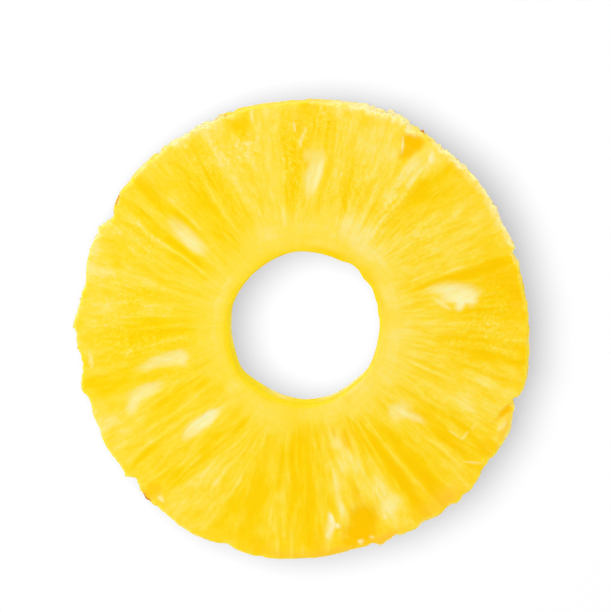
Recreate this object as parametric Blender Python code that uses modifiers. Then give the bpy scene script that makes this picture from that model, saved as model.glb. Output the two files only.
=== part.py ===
"""Pineapple ring: one slice across a peeled and cored pineapple, lying flat.

The ring is a rounded section turned about +Z, then shaped by the knife and the corer: the rim swells and
dips from cut to cut, small nicks show where an eye was dug out, shallow pockets sink into the top where the
slice opened a seed cavity, and the core hole is slightly oval and off centre. The underside is flat, at
z = 0, and the origin is at the middle of the base.
"""

import math

import bpy

MM = 0.001

# Driving sizes, in metres.
RIM_RADIUS = 46.0 * MM
HOLE_RADIUS = 15.15 * MM
THICKNESS = 12.0 * MM
HOLE_CENTRE = (0.35 * MM, 0.9 * MM)  # the corer went in a little off the slice's middle

# Rounding of the four edges of the section.
RIM_TOP_ROUND = 0.9 * MM
RIM_BASE_ROUND = 0.7 * MM
HOLE_TOP_ROUND = 1.2 * MM
HOLE_BASE_ROUND = 0.6 * MM

# How many pieces the full turn and each stretch of the section are divided into.
TURN_STEPS = 240
TOP_STEPS = 7
WALL_STEPS = 3
EDGE_STEPS = 2

# The peeling knife left the rim proud (+) or short (-): angle and half width in degrees, then outward in mm.
RIM_SWELLS = (
    (10, 16, -0.65),
    (45, 8, 0.3),
    (74, 14, 1.15),
    (106, 10, 0.4),
    (132, 11, 0.6),
    (156, 5, 0.3),
    (212, 6, 0.2),
    (228, 4, 0.5),
    (241, 7, 0.8),
    (259, 7, 0.65),
    (283, 8, -0.7),
    (315, 7, 0.75),
    (332, 5, 0.3),
    (348, 6, 0.3),
)

# Narrow bites out of the rim where an eye was dug out, and small tags of flesh left standing: same columns.
RIM_NICKS = (
    (28, 3, -0.4),
    (149.5, 2.5, -1.2),
    (168, 4.5, -1.1),
    (188, 4, -1.05),
    (199, 2.5, -0.7),
    (222, 1.7, -1.0),
    (250.5, 2, -0.6),
    (293, 2, -0.6),
    (303, 2.5, -0.5),
    (324, 2.5, -0.2),
    (341.5, 2.5, -1.3),
    (65, 3.5, 0.5),
    (178, 2.5, 0.6),
    (195, 2.5, 0.4),
    (219.5, 1.5, 0.5),
    (290, 1.5, 0.4),
)

# The corer's cut: how oval it is, towards which angle, and its own swells, in the same columns.
HOLE_OVAL = 0.15 * MM
HOLE_OVAL_ANGLE = 40
HOLE_SWELLS = (
    (30, 8, 0.3),
    (51, 8, 0.5),
    (166, 10, 0.25),
    (213, 9, 0.7),
    (272, 12, 0.2),
    (327, 8, 0.2),
)

# Pockets in the top, where the slice opened an eye's cavity near the rim or a seed cavity further in: angle in
# degrees and distance from the middle in mm, half width in degrees and half length in mm, then depth in mm.
TOP_POCKETS = (
    (59, 42.0, 3.0, 3.0, 0.6),
    (108, 41.5, 3.5, 3.0, 0.5),
    (287, 40.5, 4.5, 3.5, 0.8),
    (338, 43.5, 2.5, 2.5, 0.8),
    (12, 31.0, 4.0, 5.0, 0.5),
    (87, 31.5, 2.5, 5.0, 0.4),
    (142, 30.5, 2.5, 5.0, 0.4),
    (193, 29.5, 3.5, 5.0, 0.4),
    (203, 37.0, 2.5, 5.0, 0.4),
    (222, 28.5, 3.0, 4.5, 0.4),
    (319, 27.0, 4.0, 3.5, 0.3),
)

# The rim's wall dips in between one fruitlet and the next, in two staggered rows, and leans out to the base.
FRUITLETS = 13
WALL_HOLLOW = 0.35 * MM
WALL_LEAN = 0.3 * MM

# The knife's cut across the top isn't quite level: its fall from one side to the other, and towards which angle.
TOP_FALL = 0.3 * MM
TOP_FALL_ANGLE = 150


def bump(angle, centre, half_width):
    """A smooth hump in degrees round the turn: 1 at its centre and small past its half width."""
    away = (angle - centre + 180) % 360 - 180
    return math.exp(-((away / half_width) ** 2))


def sum_of_bumps(angle, bumps):
    """What these swells or nicks add up to at this angle, in metres."""
    return MM * sum(outward * bump(angle, centre, half_width) for centre, half_width, outward in bumps)


def rim_offset(angle):
    """How far the rim stands outside its mean radius at this angle."""
    return sum_of_bumps(angle, RIM_SWELLS) + sum_of_bumps(angle, RIM_NICKS)


def hole_offset(angle):
    """How far the hole's wall stands outside its mean radius at this angle."""
    oval = HOLE_OVAL * math.cos(2 * math.radians(angle - HOLE_OVAL_ANGLE))
    return oval + sum_of_bumps(angle, HOLE_SWELLS)


def wall_offset(angle, height):
    """How far the rim's wall leans out and dips in at this angle and this share of the height."""
    lean = WALL_LEAN * (0.5 - height)
    upper = math.cos(math.radians(FRUITLETS * angle)) * math.sin(math.pi * height)
    lower = math.cos(math.radians(FRUITLETS * angle + 180)) * math.sin(2 * math.pi * height)
    return lean + WALL_HOLLOW * (0.6 * upper + 0.4 * lower)


def pocket_depth(angle, radius):
    """How deep the top sinks into its pockets at this angle and distance from the middle."""
    return MM * sum(
        depth * bump(angle, centre, half_width) * math.exp(-(((radius / MM - distance) / half_length) ** 2))
        for centre, distance, half_width, half_length, depth in TOP_POCKETS
    )


def straight(start, end, steps):
    """Points from start up to, but not including, end."""
    shares = [k / steps for k in range(steps)]
    return [(start[0] + (end[0] - start[0]) * s, start[1] + (end[1] - start[1]) * s) for s in shares]


def corner(centre, radius, from_degrees):
    """Points of a quarter circle that runs clockwise from from_degrees, without its last point."""
    angles = [math.radians(from_degrees - 90 * k / EDGE_STEPS) for k in range(EDGE_STEPS)]
    return [(centre[0] + radius * math.cos(a), centre[1] + radius * math.sin(a)) for a in angles]


def section():
    """The ring's section as (radius, height) points, running outwards along the top and down the rim."""
    top_inner = (HOLE_RADIUS + HOLE_TOP_ROUND, THICKNESS)
    top_outer = (RIM_RADIUS - RIM_TOP_ROUND, THICKNESS)
    rim_high = (RIM_RADIUS, THICKNESS - RIM_TOP_ROUND)
    rim_low = (RIM_RADIUS, RIM_BASE_ROUND)
    base_outer = (RIM_RADIUS - RIM_BASE_ROUND, 0)
    base_inner = (HOLE_RADIUS + HOLE_BASE_ROUND, 0)
    hole_low = (HOLE_RADIUS, HOLE_BASE_ROUND)
    hole_high = (HOLE_RADIUS, THICKNESS - HOLE_TOP_ROUND)
    return (
        straight(top_inner, top_outer, TOP_STEPS)
        + corner((top_outer[0], rim_high[1]), RIM_TOP_ROUND, 90)
        + straight(rim_high, rim_low, WALL_STEPS)
        + corner((base_outer[0], rim_low[1]), RIM_BASE_ROUND, 0)
        + straight(base_outer, base_inner, 1)
        + corner((base_inner[0], hole_low[1]), HOLE_BASE_ROUND, -90)
        + straight(hole_low, hole_high, 1)
        + corner((top_inner[0], hole_high[1]), HOLE_TOP_ROUND, 180)
    )


def turned_ring():
    """The section turned once about +Z with a Screw modifier, and made a plain mesh."""
    points = section()
    outline = bpy.data.meshes.new("ring_section")
    edges = [(k, (k + 1) % len(points)) for k in range(len(points))]
    outline.from_pydata([(radius, 0, height) for radius, height in points], edges, [])
    helper = bpy.data.objects.new("ring_section", outline)
    bpy.context.scene.collection.objects.link(helper)
    screw = helper.modifiers.new("turn", "SCREW")
    screw.axis = "Z"
    screw.steps = screw.render_steps = TURN_STEPS
    screw.use_merge_vertices = True
    screw.merge_threshold = 0.00001
    evaluated = helper.evaluated_get(bpy.context.evaluated_depsgraph_get())
    mesh = bpy.data.meshes.new_from_object(evaluated)
    bpy.data.objects.remove(helper)
    bpy.data.meshes.remove(outline)
    mesh.name = "pineapple_ring"
    return mesh


def shape_by_knife(mesh):
    """Moves each point of the turned ring to where the knife and the corer left it."""
    fall_angle = math.radians(TOP_FALL_ANGLE)
    for vertex in mesh.vertices:
        x, y, z = vertex.co
        radius = math.hypot(x, y)
        turn = math.atan2(y, x)
        angle = math.degrees(turn)
        height = z / THICKNESS
        outwards = (radius - HOLE_RADIUS) / (RIM_RADIUS - HOLE_RADIUS)
        inwards = 1 - outwards
        rim = rim_offset(angle) + wall_offset(angle, height)
        radius += hole_offset(angle) * inwards + rim * outwards
        x = radius * math.cos(turn) + HOLE_CENTRE[0] * inwards
        y = radius * math.sin(turn) + HOLE_CENTRE[1] * inwards
        fall = TOP_FALL * (x * math.cos(fall_angle) + y * math.sin(fall_angle)) / (2 * RIM_RADIUS)
        sunk = pocket_depth(angle, radius) if height > 0.99 else 0
        vertex.co = (x, y, z - fall * height - sunk)


def centre_on_base(mesh):
    """Slides the mesh so that the middle of its bounding box stands over the origin."""
    for axis in (0, 1):
        values = [vertex.co[axis] for vertex in mesh.vertices]
        middle = (min(values) + max(values)) / 2
        for vertex in mesh.vertices:
            vertex.co[axis] -= middle


def flesh_material():
    """Wet ripe pineapple flesh."""
    material = bpy.data.materials.new("pineapple_flesh")
    material.use_nodes = True
    shader = material.node_tree.nodes["Principled BSDF"]
    shader.inputs["Base Color"].default_value = (0.93, 0.62, 0.045, 1)
    shader.inputs["Roughness"].default_value = 0.35
    shader.inputs["Metallic"].default_value = 0.0
    return material


def make_pineapple_ring(collection):
    """The whole ring, as one solid."""
    mesh = turned_ring()
    shape_by_knife(mesh)
    centre_on_base(mesh)
    mesh.materials.append(flesh_material())
    mesh.shade_smooth()
    mesh.set_sharp_from_angle(angle=math.radians(50))
    ring = bpy.data.objects.new("pineapple_ring", mesh)
    collection.objects.link(ring)


def main():
    for obj in list(bpy.data.objects):
        bpy.data.objects.remove(obj)
    collection = bpy.data.collections.new("pineapple_ring")
    bpy.context.scene.collection.children.link(collection)
    make_pineapple_ring(collection)


main()
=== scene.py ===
import math

import bpy
import numpy as np
from mathutils import Matrix, Vector


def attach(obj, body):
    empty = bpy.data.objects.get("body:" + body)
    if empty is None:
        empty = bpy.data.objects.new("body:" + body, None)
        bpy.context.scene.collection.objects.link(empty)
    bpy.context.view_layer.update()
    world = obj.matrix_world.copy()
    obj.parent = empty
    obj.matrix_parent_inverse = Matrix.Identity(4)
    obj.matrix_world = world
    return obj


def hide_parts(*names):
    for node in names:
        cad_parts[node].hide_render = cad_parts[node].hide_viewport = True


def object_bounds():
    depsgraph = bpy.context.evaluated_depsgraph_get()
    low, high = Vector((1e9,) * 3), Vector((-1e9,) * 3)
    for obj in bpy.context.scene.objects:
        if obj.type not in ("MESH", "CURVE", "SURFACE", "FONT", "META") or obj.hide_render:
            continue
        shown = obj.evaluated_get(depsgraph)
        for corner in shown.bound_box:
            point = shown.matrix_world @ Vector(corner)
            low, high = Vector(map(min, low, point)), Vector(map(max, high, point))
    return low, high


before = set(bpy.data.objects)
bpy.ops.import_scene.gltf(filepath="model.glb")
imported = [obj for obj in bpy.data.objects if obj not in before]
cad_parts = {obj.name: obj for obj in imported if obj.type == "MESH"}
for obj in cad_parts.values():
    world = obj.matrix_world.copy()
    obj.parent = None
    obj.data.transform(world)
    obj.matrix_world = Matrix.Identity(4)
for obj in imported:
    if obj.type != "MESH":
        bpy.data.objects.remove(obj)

cadLow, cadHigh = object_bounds()
print("frame loaded:", sorted(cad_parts))

mm = 0.001
grainSpan = 97  # steps along before a grain repeats
grainStart = 31  # the step that lies at 0 mm

# Angles are in degrees, seen from above, anticlockwise from +X. Sizes are in mm until a mesh is made.


def smooth(low, high, x):
    # 0 below low, 1 above high, 3t^2 - 2t^3 in between; with low above high it falls instead of rising
    t = np.clip((x - low) / (high - low), 0, 1)
    return t * t * (3 - 2 * t)


def away(angle, centre):
    # signed turn from centre to angle, from -180 to 180
    return (angle - centre + 180) % 360 - 180


def humps(angle, rows):
    # sum of bell curves round the turn: height * exp(-(turn away / half width)^2)
    total = np.zeros_like(angle)
    for centre, halfWidth, height in rows:
        total += height * np.exp(-(away(angle, centre) / halfWidth) ** 2)
    return total


def grain(angle, along, cells, step, seed):
    # random heights from -1 to 1 on a lattice, `cells` of them round the turn and one every `step` mm along,
    # blended smoothly between the four nearest, so that it closes on itself after a full turn
    table = np.random.default_rng(seed).uniform(-1, 1, (cells, grainSpan))
    x = angle / 360 * cells
    y = along / step + grainStart
    i = np.floor(x).astype(int)
    j = np.floor(y).astype(int)
    fx = smooth(0, 1, x - i)
    fy = smooth(0, 1, y - j)
    i0, i1 = i % cells, (i + 1) % cells
    j0, j1 = j % grainSpan, (j + 1) % grainSpan
    near = table[i0, j0] * (1 - fx) + table[i1, j0] * fx
    far = table[i0, j1] * (1 - fx) + table[i1, j1] * fx
    return near * (1 - fy) + far * fy


def layers(angle, along, cells, step, seed, count):
    # grain summed over `count` scales, each half the size and half the height of the one before, over 1.5
    total = 0
    for k in range(count):
        total = total + grain(angle, along, cells * 2 ** k, step / 2 ** k, seed + 7 * k) / 2 ** k
    return total / 1.5


outline = {
    "rimRadius": 46.0,
    "holeRadius": 15.15,
    "thickness": 12.0,
    "holeCentre": (0.35, 0.9),
    "pith": (0.21, 0.96),  # the fruit's own middle, which the fibres run out from
    "rimTopRound": 0.5,
    "rimBaseRound": 0.7,
    "holeTopRound": 0.7,
    "holeBaseRound": 0.6,
    # how far the top falls across the slice, and the angle it rises towards
    "topFall": 0.3,
    "topFallAngle": 150,
    # where the peeling knife left the rim proud or short: angle, half width, outward
    "rimSwells": (
        (10, 16, -0.65), (45, 8, 0.3), (74, 14, 1.15), (106, 10, 0.4), (132, 11, 0.6), (156, 5, 0.3),
        (212, 6, 0.2), (228, 4, 0.5), (241, 7, 0.8), (259, 7, 0.65), (283, 8, -0.7), (315, 7, 0.75),
        (332, 5, 0.3), (348, 6, 0.3),
    ),
    # narrow bites where an eye was dug out, and tags left standing, in the same columns
    "rimNicks": (
        (28, 3, -0.4), (149.5, 2.5, -1.2), (168, 4.5, -1.1), (188, 4, -1.05), (199, 2.5, -0.7),
        (222, 1.7, -1), (250.5, 2, -0.6), (293, 2, -0.6), (303, 2.5, -0.5), (324, 2.5, -0.2),
        (341.5, 2.5, -1.3), (65, 3.5, 0.5), (178, 2.5, 0.6), (195, 2.5, 0.4), (219.5, 1.5, 0.5),
        (290, 1.5, 0.4),
    ),
    # the corer's cut: how oval it is, towards which angle, and its swells in the same columns
    "holeOval": 0.15,
    "holeOvalAngle": 40,
    "holeSwells": (
        (4, 12, 0.14), (19, 4, 0.28), (26, 3, 0.06), (32, 9, 0.67), (40, 2, -0.06), (46.5, 2, 0.12),
        (51, 9, 0.93), (56, 3, 0.1), (68, 7, 0.22), (94, 22, 0.5), (107, 8, 0.05), (166, 10, 0.22),
        (178, 6, -0.06), (196, 6, 0.05), (215, 12, 0.65), (270, 14, 0.34), (292, 13, 0.31), (324, 12, 0.36),
        (351, 7, -0.12),
    ),
    # fruitlets round the wall, how far it dips between them, in a row above and a row below, and its lean out
    "fruitlets": 13,
    "wallHollow": 0.35,
    "upperRow": 0.6,
    "lowerRow": 0.4,
    "wallLean": 0.3,
}

grid = {
    "turnSteps": 900,
    "topSteps": 62,
    "edgeSteps": 4,
    "wallSteps": 18,
    "baseSteps": 8,
    "holeSteps": 6,
}


def straightRun(start, end, normal, steps):
    # start + (end - start) * t, for t from 0 up to, but not including, 1, all with one normal
    t = np.arange(steps) / steps
    return np.column_stack([
        start[0] + (end[0] - start[0]) * t,
        start[1] + (end[1] - start[1]) * t,
        np.full(steps, normal[0]),
        np.full(steps, normal[1]),
    ])


def cornerRun(centre, radius, fromAngle, steps):
    # a quarter circle that runs clockwise: centre + radius * (cos, sin), which is also its normal
    a = np.radians(fromAngle - 90 * np.arange(steps) / steps)
    out, up = np.cos(a), np.sin(a)
    return np.column_stack([centre[0] + radius * out, centre[1] + radius * up, out, up])


def sectionRows():
    # the ring's section as rows of radius, height and outward normal: along the top, down the rim, back along
    # the base and up the hole
    o, g = outline, grid
    rim, hole, top = o["rimRadius"], o["holeRadius"], o["thickness"]
    rimTop, rimBase = o["rimTopRound"], o["rimBaseRound"]
    holeTop, holeBase = o["holeTopRound"], o["holeBaseRound"]
    return np.vstack([
        straightRun((hole + holeTop, top), (rim - rimTop, top), (0, 1), g["topSteps"]),
        cornerRun((rim - rimTop, top - rimTop), rimTop, 90, g["edgeSteps"]),
        straightRun((rim, top - rimTop), (rim, rimBase), (1, 0), g["wallSteps"]),
        cornerRun((rim - rimBase, rimBase), rimBase, 0, g["edgeSteps"]),
        straightRun((rim - rimBase, 0), (hole + holeBase, 0), (0, -1), g["baseSteps"]),
        cornerRun((hole + holeBase, holeBase), holeBase, -90, g["edgeSteps"]),
        straightRun((hole, holeBase), (hole, top - holeTop), (-1, 0), g["holeSteps"]),
        cornerRun((hole + holeTop, top - holeTop), holeTop, 180, g["edgeSteps"]),
    ])


flesh = {
    # noises: cells round the turn, step along in mm, seed, number of layers
    "noises": {
        "wander": (60, 8, 5, 2),
        "shake": (80, 9, 11, 3),
        "innerStrand": (150, 8, 23, 2),
        "outerStrand": (300, 7, 29, 2),
        "coreEdge": (40, 9, 37, 2),
        "blotch": (50, 4, 43, 3),
        "ledges": (50, 2.6, 61, 3),
        "crumb": (400, 0.8, 67, 2),
        "upright": (90, 14, 71, 2),
        "tears": (270, 16, 83, 3),
        "fringe": (40, 6, 91, 2),
    },
    # single grains, without the number of layers
    "fray": (200, 30, 19),
    "holeSpecks": (60, 1.3, 73),

    # how the fibres lean away from straight out: angle, half width, degrees gained in 10 mm
    "leans": (
        (37, 10, -3.2), (66, 7, 2.5), (89, 8, -2.8), (112, 7, 1.5), (150, 9, -2.2), (183, 9, 3.2),
        (207, 7, 2.2), (238, 11, -4.6), (262, 6, 1.6), (302, 9, 1.2), (342, 16, -2.2),
    ),
    "leanRadius": 32,  # where a fibre has the angle that it is known by
    "leanInside": 1.25,  # share of the lean inside that radius
    "leanOutside": 0.75,  # and outside it
    "wander": 0.6,  # degrees that a fibre strays
    "strandBand": (26, 38),  # radii over which the strands grow finer
    "undersideTurn": 41.0,  # the underside is the next cut through the same fruitlets
    "strandRadius": 30,  # of the cylinder that the material reads its fibres on

    # bunches of fibres: angle at leanRadius, half width, from radius, to radius, and depth of colour, which
    # is above 0 where the flesh is deeper and wetter and below 0 where it is paler
    "bunches": (
        (1.5, 1.6, 24, 34, -0.05), (4, 1.8, 31, 46, 0.2), (6.2, 1, 32, 38, 0.35), (12.5, 5.5, 37, 47, 0.4),
        (19.3, 1.5, 25, 46, 0.8), (21.8, 0.5, 29, 41, -0.35), (23.8, 1.4, 27, 44, -0.2),
        (29, 2.5, 26, 40, 0.05), (34.5, 1, 28, 38, 0.25), (39.3, 1.8, 28, 35, -0.35),
        (42, 1.8, 27, 34, -0.25), (48, 3.6, 36, 46, 0.4), (50.6, 1.5, 34, 43, 0.55),
        (53.6, 0.6, 25, 40, -0.45), (56.6, 1.2, 27, 43, -0.5), (53.2, 2, 38, 47, -0.5),
        (62.5, 0.8, 25, 34, -0.2), (68, 3.2, 38, 45, -0.2), (73.3, 0.9, 27, 36, 0.35),
        (70.6, 1.6, 22, 27, -0.35), (74.5, 1.2, 30, 42, 0.2), (78, 1, 27, 40, -0.15),
        (78, 2.8, 21, 26, 0.35), (81.3, 1.2, 24, 32, 0.5), (83.5, 1.6, 37, 45, 0.35),
        (90.5, 1.3, 27, 38, 0.3), (93.5, 2.3, 25, 45, 0.45), (96.2, 0.8, 24, 38, 0.35),
        (101.5, 3.4, 34, 45, -0.3), (109, 1, 31, 37, 0.15), (114.8, 1.6, 28, 44, -0.3),
        (105.5, 2.4, 27, 31, -0.3), (119.5, 2, 29, 44, 0.35), (122, 0.7, 27, 36, 0.3),
        (124.4, 0.45, 29, 41, -0.4), (129, 3, 24, 38, 0.35), (133.2, 1.2, 24, 35, 0.4),
        (135.2, 0.5, 27, 38, -0.35), (138.2, 2, 34, 44.5, 0.6), (137.3, 1, 27, 36, 0.4),
        (146.2, 1.5, 28, 40, 0.75), (148.8, 0.6, 25, 39, -0.35), (150.8, 1, 29, 41, 0.4),
        (159, 1.8, 35, 43, 0.25), (163.8, 1.6, 30, 41, -0.3), (168.5, 1.5, 28, 39, 0.25),
        (173, 2.4, 38, 47, -0.25), (175.8, 0.6, 27, 38, -0.2), (178, 1.6, 24, 36, 0.45),
        (183.5, 2.8, 24, 38, 0.45), (187.3, 0.9, 27, 37, -0.35), (196, 2.9, 37, 44, 0.6),
        (198.6, 0.8, 26, 35, 0.35), (200.2, 0.4, 26, 34, -0.3), (205.2, 1.6, 39, 44, -0.3),
        (208.2, 0.9, 25, 36, 0.35), (210.9, 1.3, 22, 38, 0.45), (213.3, 0.5, 27, 40, -0.25),
        (217.4, 0.7, 30, 46, -0.4), (219.1, 0.7, 40, 46, 0.45), (222.5, 2, 35, 44, -0.15),
        (228, 1.4, 43, 47, 0.4), (230.3, 0.9, 28, 43, 0.7), (232.7, 0.9, 22, 42, 0.55),
        (236.3, 0.7, 25, 40, -0.3), (239, 2.4, 28, 46, -0.1), (241.8, 0.6, 25, 42, -0.3),
        (245, 2.6, 24, 34, -0.25), (247.3, 0.5, 34, 44, -0.3), (249.5, 1.8, 36, 45, 0.3),
        (254, 3.4, 23, 42, 0.35), (259.9, 1.2, 34, 41, 0.25), (262.8, 0.6, 35, 42, -0.35),
        (262.6, 0.7, 23, 32, 0.35), (264.9, 0.5, 29, 35, -0.2), (264.9, 2.2, 36, 48, 0.6),
        (266.6, 0.8, 24, 37, 0.45), (268, 0.35, 26, 35, -0.2), (268.8, 1.5, 20, 46, 0.55),
        (272.2, 1.7, 20, 46, 0.6), (275, 0.5, 27, 35, -0.2), (274.6, 1, 36, 42, 0.35),
        (275.5, 3.2, 20, 25, 0.35), (282, 1.2, 30, 41, -0.6), (286.3, 2.6, 22, 33, -0.6),
        (287.5, 1.4, 32, 39, 0.3), (291, 2.2, 26, 34, -0.45), (291.4, 1.5, 35, 44, 0.3),
        (295.4, 3.6, 34, 44, -0.4), (291.5, 0.8, 22, 26, 0.4), (297.2, 1.3, 19, 27, 0.45),
        (299.6, 1.1, 22, 31, 0.5), (303, 1.5, 25, 46, 0.85), (305.8, 0.5, 25, 41, -0.35),
        (309, 2.2, 26, 45, 0.65), (316, 2.4, 30, 44, -0.1), (322.2, 1.5, 29, 44, 0.55),
        (324.5, 1.3, 25, 40, 0.35), (328.8, 2.7, 39, 47, 0.55), (327.2, 1.3, 23, 32, 0.6),
        (335.5, 1.6, 27, 40, -0.25), (341, 0.7, 24, 31, -0.4), (345.5, 2.4, 34, 46, -0.35),
        (352.6, 1.6, 33, 44, 0.4), (356.5, 1, 30, 44, 0.25),
    ),
    "bunchFlatness": 2.4,
    "bunchShake": 0.6,
    "bunchStart": (-5, 1),  # over which mm past its first radius a bunch sets in
    "bunchEnd": (3, -3),  # and past its last one fades out
    "startFray": 2.5,
    "endFray": 3,
    # broad drifts of paler or deeper flesh: angle, radius, half width, half length in mm, depth of colour
    "drifts": (
        (258, 34, 22, 14, 0.22), (308, 36, 16, 14, 0.35), (12, 40, 12, 8, 0.22), (354, 38, 10, 12, 0.3),
        (66, 40, 8, 7, -0.1), (105, 34, 12, 12, -0.25), (165, 42, 14, 6, -0.35), (118, 44.5, 8, 2.5, -0.3),
        (130, 34, 8, 10, 0.2), (184, 32, 12, 8, 0.25), (205, 40, 8, 6, -0.25), (240, 44, 6, 6, -0.35),
        (159.5, 45.2, 6.5, 2.4, -0.5), (134, 45, 3, 1.5, -0.3), (206, 45.5, 6, 1.5, -0.25),
        (183, 45.5, 6, 1.2, -0.25), (173, 36.5, 5, 4, -0.3), (327, 32, 4.5, 4, 0.35),
        (107.2, 42.7, 2.8, 1.9, 0.85), (254, 45, 5, 2, 0.3), (293, 38, 9, 9, -0.3), (337, 40, 9, 9, -0.12),
        (59, 23, 26, 2.6, -0.6), (104, 22.5, 14, 2.6, -0.35), (335, 21, 18, 3, -0.25),
        (30, 36, 6, 10, -0.2), (334, 45, 3, 1.2, -0.4), (352.5, 44.9, 4.5, 1.3, 0.5),
        (52, 43.6, 4, 1.5, -0.3), (291.5, 23.8, 2.6, 1.8, 0.55), (202.2, 41.3, 1.6, 2.5, 0.4),
        (91.5, 43.6, 1.4, 1.2, -0.4), (60.5, 24, 1.3, 1.3, 0.3), (68.4, 23.8, 1.3, 1.3, 0.3),
        (293, 37.6, 1.8, 1.6, 0.35), (12.9, 26.6, 1.6, 2, -0.4), (297.4, 29.6, 1.2, 2, -0.35),
        (140, 46, 1.6, 0.9, -0.6), (177.4, 46.7, 1.8, 0.9, -0.5), (219.5, 47.2, 1.5, 1, -0.6),
    ),
    # how much of each noise goes into the depth of colour
    "tintGain": 1.25,
    "tintStrand": 0.35,
    "shakeTint": 0.3,
    "strandTint": 0.18,
    "blotchTint": 0.2,

    # the core's tones and painted shade, in the same columns, over its even depth of colour
    # the rows on the hole's edge, at 15 to 17.6 mm, are mostly deeper: painted shade on its rounded edge
    "coreTonesAndEdgeShade": (
        (0, 18, 62, 6, -0.18), (316, 15.8, 16, 0.3, -0.5), (345, 15.5, 12, 0.3, -0.4),
        (262, 18, 12, 4, 0.22), (310, 15, 30, 0.9, -0.25), (350, 16, 16, 1, 0.25), (32, 16.4, 22, 0.9, 0.7),
        (48, 17.6, 14, 0.9, 0.25), (72, 16.2, 16, 0.7, 1), (105, 16, 22, 0.8, 0.4),
        (150, 15.6, 30, 0.8, 0.4), (160, 17.6, 34, 1.2, -0.2), (205, 15.6, 26, 0.9, 0.9),
        (244, 15.2, 20, 1, 0.6), (274, 15.2, 14, 0.9, 0.4), (235, 19, 20, 2, -0.1),
        (57, 21.5, 17, 2, -0.65), (108, 20, 8, 2, -0.2), (86, 20.5, 3, 1, -0.2), (110, 20, 5, 1, -0.3),
        (187, 21, 3, 0.8, -0.2), (194.5, 21, 3, 0.8, 0.3), (248, 19, 4, 0.8, -0.2),
        (280, 18.8, 4, 0.8, -0.2), (270, 20.8, 6, 2.2, 0.45), (291, 20.8, 10, 1.4, 0.35),
    ),
    "coreDepth": -0.32,
    "coreStrand": 0.06,
    "ringTint": 0.05,
    "ringPitch": 4.1,  # radians in a mm, for its faint rings
    "ringShake": 1.5,
    "coreRadius": 20.8,
    # where the core reaches further out: angle, half width, outward
    "coreSwells": ((55, 42, 2.2), (108, 14, 1.2), (342, 14, 1.2)),
    "coreWobble": 1.6,  # mm, as the next two are
    "coreFray": 1.0,
    "coreBlend": 2.0,  # to each side of its edge

    # where wet sacs show as flecks, lighter and darker: angle, radius, half width, half length in mm, amount
    # the lighter flecks are painted glints on the wet sacs
    "sacFlecksAndGlints": (
        (93.5, 34, 3.5, 9, 1), (107, 38.5, 4, 2.5, 0.75), (184, 34, 8, 8, 0.8), (355, 35, 6, 8, 0.45),
        (3, 38, 5, 7, 0.35), (70, 30, 8, 6, 0.5), (55, 31, 4, 6, 0.6), (84, 42, 6, 4, 0.6),
        (120, 38, 10, 7, 0.5), (150, 38, 6, 6, 0.5), (200, 27, 6, 4, 0.5), (170, 34, 6, 5, 0.5),
        (38, 30, 8, 5, 0.4), (12, 41, 8, 5, 0.5),
    ),
    # a blush of orange close to the rim, in the same columns
    "blushes": (
        (309, 44.8, 7, 2, 0.75), (291, 45.6, 5, 0.9, 0.9), (291, 46.2, 1.8, 0.5, 1.3),
        (275, 46.2, 8, 0.9, 0.8), (282, 45.6, 6, 0.7, 0.7), (334, 45.6, 4, 0.8, 0.6),
        (338.5, 45.4, 2, 0.6, 0.6), (264, 46.2, 5, 0.8, 0.5), (86.8, 46, 1.6, 0.5, 0.5),
        (87.3, 44.9, 1.2, 0.6, 0.35), (144.4, 46, 1.6, 0.5, 1.2), (110.5, 46.3, 1.6, 0.4, 1.3),
        (227, 46.5, 1.6, 0.5, 1.3),
    ),
    "blushShake": 0.4,
    # how lemon the yellow is, which is warmer elsewhere: angle, half width, amount
    "lemon": ((170, 75, 1.0),),
    # pale seed cavities, and painted glints of juice: angle, radius, half width and half length in mm, tilt
    # from straight out, how white they are, and depth
    "cavitiesAndGlints": (
        (13.3, 31.9, 2.1, 4, 13, 0.55, 0.3), (12, 31.6, 0.9, 3.4, 14, 0.55, 0.1),
        (9.8, 32.4, 1.2, 1.1, 0, 0.8, 0.2), (8.4, 31.9, 0.9, 0.9, 0, 0.8, 0.1),
        (11.8, 33.5, 1, 1.9, 8, 0.6, 0.1), (9.8, 33.1, 0.3, 2.5, 10, 0.8, 0.05),
        (10.4, 28.5, 0.35, 2, 45, 0.4, 0.05), (10, 34.4, 1.6, 1.3, 0, 0.55, 0.1),
        (15.2, 30.6, 0.9, 3.4, 6, 0.4, 0.1), (86, 31.4, 1.5, 4.2, 7, 0.45, 0.25),
        (84.3, 31.3, 0.6, 3.3, 10, 0.75, 0.1), (87.3, 30.5, 0.9, 3, 4, 0.3, 0),
        (142, 29.9, 1.4, 4.2, 6, 0.55, 0.25), (143.3, 28.6, 0.9, 2.4, 5, 0.35, 0.05),
        (193, 27.2, 1.6, 2.9, 0, 0.6, 0.25), (193.3, 25.3, 1.9, 1.1, 0, 0.45, 0.1),
        (193.7, 31.2, 1.3, 4, -3, 0.5, 0.1), (191.8, 30.2, 0.4, 1.5, 0, 0.4, 0),
        (201.8, 34.4, 1.3, 3.4, -6, 0.6, 0.25), (204.7, 37.8, 1, 1.9, -35, 0.6, 0.1),
        (223.4, 26.6, 1.1, 2.4, 2, 1, 0.25), (222.7, 29.9, 1.4, 3, 3, 0.75, 0.15),
        (223, 28.5, 0.8, 3, 3, 0.5, 0), (319.2, 25.6, 1.9, 1.9, 0, 0.5, 0.2),
        (321, 28, 0.8, 2.6, -14, 0.4, 0.1), (278.5, 39.2, 0.5, 1.4, -11, 0.9, 0.1),
        (277.8, 41.4, 0.45, 1.2, 42, 0.85, 0.1), (279.9, 40.6, 0.7, 0.5, 30, 0.75, 0.05),
        (276.9, 42.3, 0.4, 0.5, 0, 0.6, 0.05), (277.6, 40.9, 0.76, 2.1, 8, 0.5, 0.05),
        (296, 39.8, 2.3, 1.3, 0, 0.4, 0), (282, 36.7, 0.76, 3.2, -6, 0.26, 0),
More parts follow.
